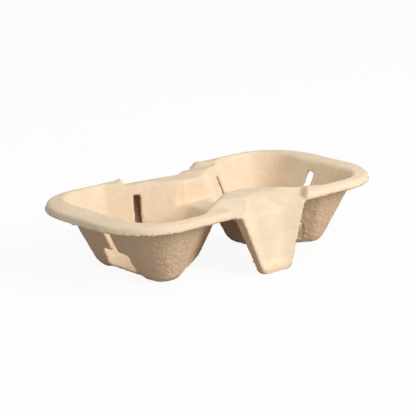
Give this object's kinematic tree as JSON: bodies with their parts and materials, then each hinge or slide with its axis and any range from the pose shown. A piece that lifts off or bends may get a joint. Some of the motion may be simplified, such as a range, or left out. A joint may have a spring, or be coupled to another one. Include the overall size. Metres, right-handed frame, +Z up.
{
  "type": "moulded pulp cup carrier",
  "caption": "Shallow moulded pulp carrier with a pocket for a takeaway cup at each end, a low saddle between them and a splayed middle leg on each long side.",
  "frame": {"origin": "on the ground under the middle of the carrier", "axes": "+Z up, +X along the line of the two cups, +Y across them"},
  "size_m": [0.215, 0.1144, 0.0425],
  "materials": {
    "pulp": "matte, felted fibre"
  },
  "bodies": {
    "root": {"cup_carrier": "pulp"}
  },
  "joints": []
}
